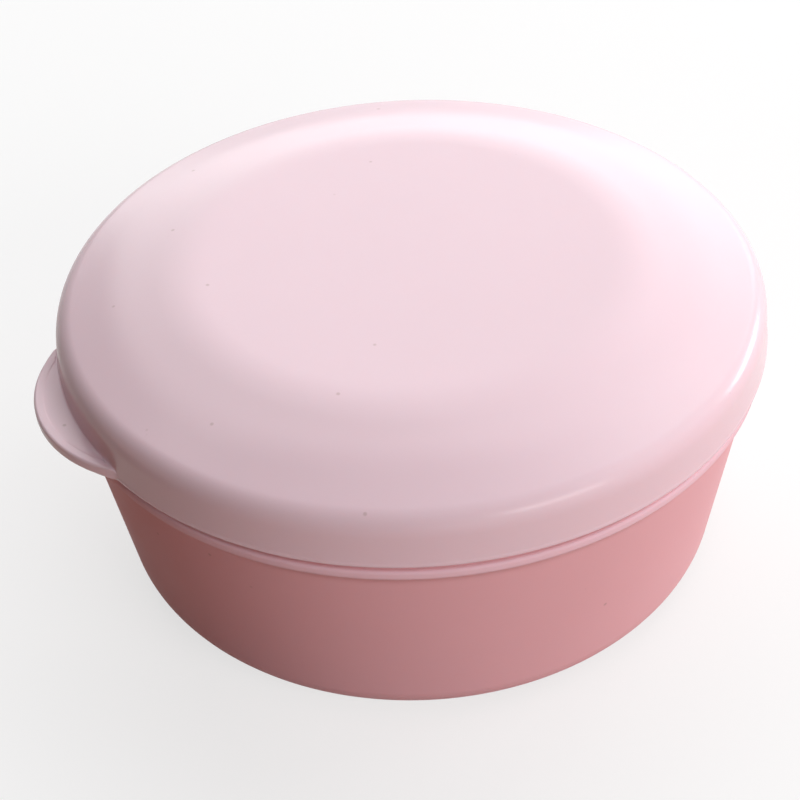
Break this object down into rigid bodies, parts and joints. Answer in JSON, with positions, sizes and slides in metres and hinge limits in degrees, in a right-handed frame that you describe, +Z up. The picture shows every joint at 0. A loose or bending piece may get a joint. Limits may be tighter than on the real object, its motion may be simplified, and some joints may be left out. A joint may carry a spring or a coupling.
{
  "type": "travel soap box",
  "caption": "Round plastic travel soap box: tapered bowl, press-on lid with a thumb tab, soft seal in the lid and a slotted drain tray on short legs.",
  "frame": {"origin": "on the box's round axis, in the plane that its foot ring stands on", "axes": "+Z up along the round axis, the lid's thumb tab points along -X"},
  "size_m": [0.1044, 0.1, 0.0457],
  "materials": {
    "base_plastic": "glossy warm pink moulded plastic",
    "lid_plastic": "glossy pale pink moulded plastic",
    "seal_silicone": "milky silicone",
    "tray_plastic": "pale pink moulded plastic, satin"
  },
  "bodies": {
    "base": {"base": "base_plastic"},
    "seal_ring": {"seal_ring": "seal_silicone"},
    "lid": {"lid": "lid_plastic"},
    "drain_tray": {"drain_tray": "tray_plastic"}
  },
  "joints": [
    {"name": "lid_lift", "type": "slide", "parent": "base", "child": "seal_ring", "axis": [0, 0, 1], "range_m": [0, 0.08]},
    {"name": "lid_turn", "type": "hinge", "parent": "seal_ring", "child": "lid", "pos_m": [0, 0, 0.0394], "axis": [0, 0, 1], "continuous": true},
    {"name": "tray_lift", "type": "slide", "parent": "base", "child": "drain_tray", "axis": [0, 0, 1], "range_m": [0, 0.026]}
  ]
}
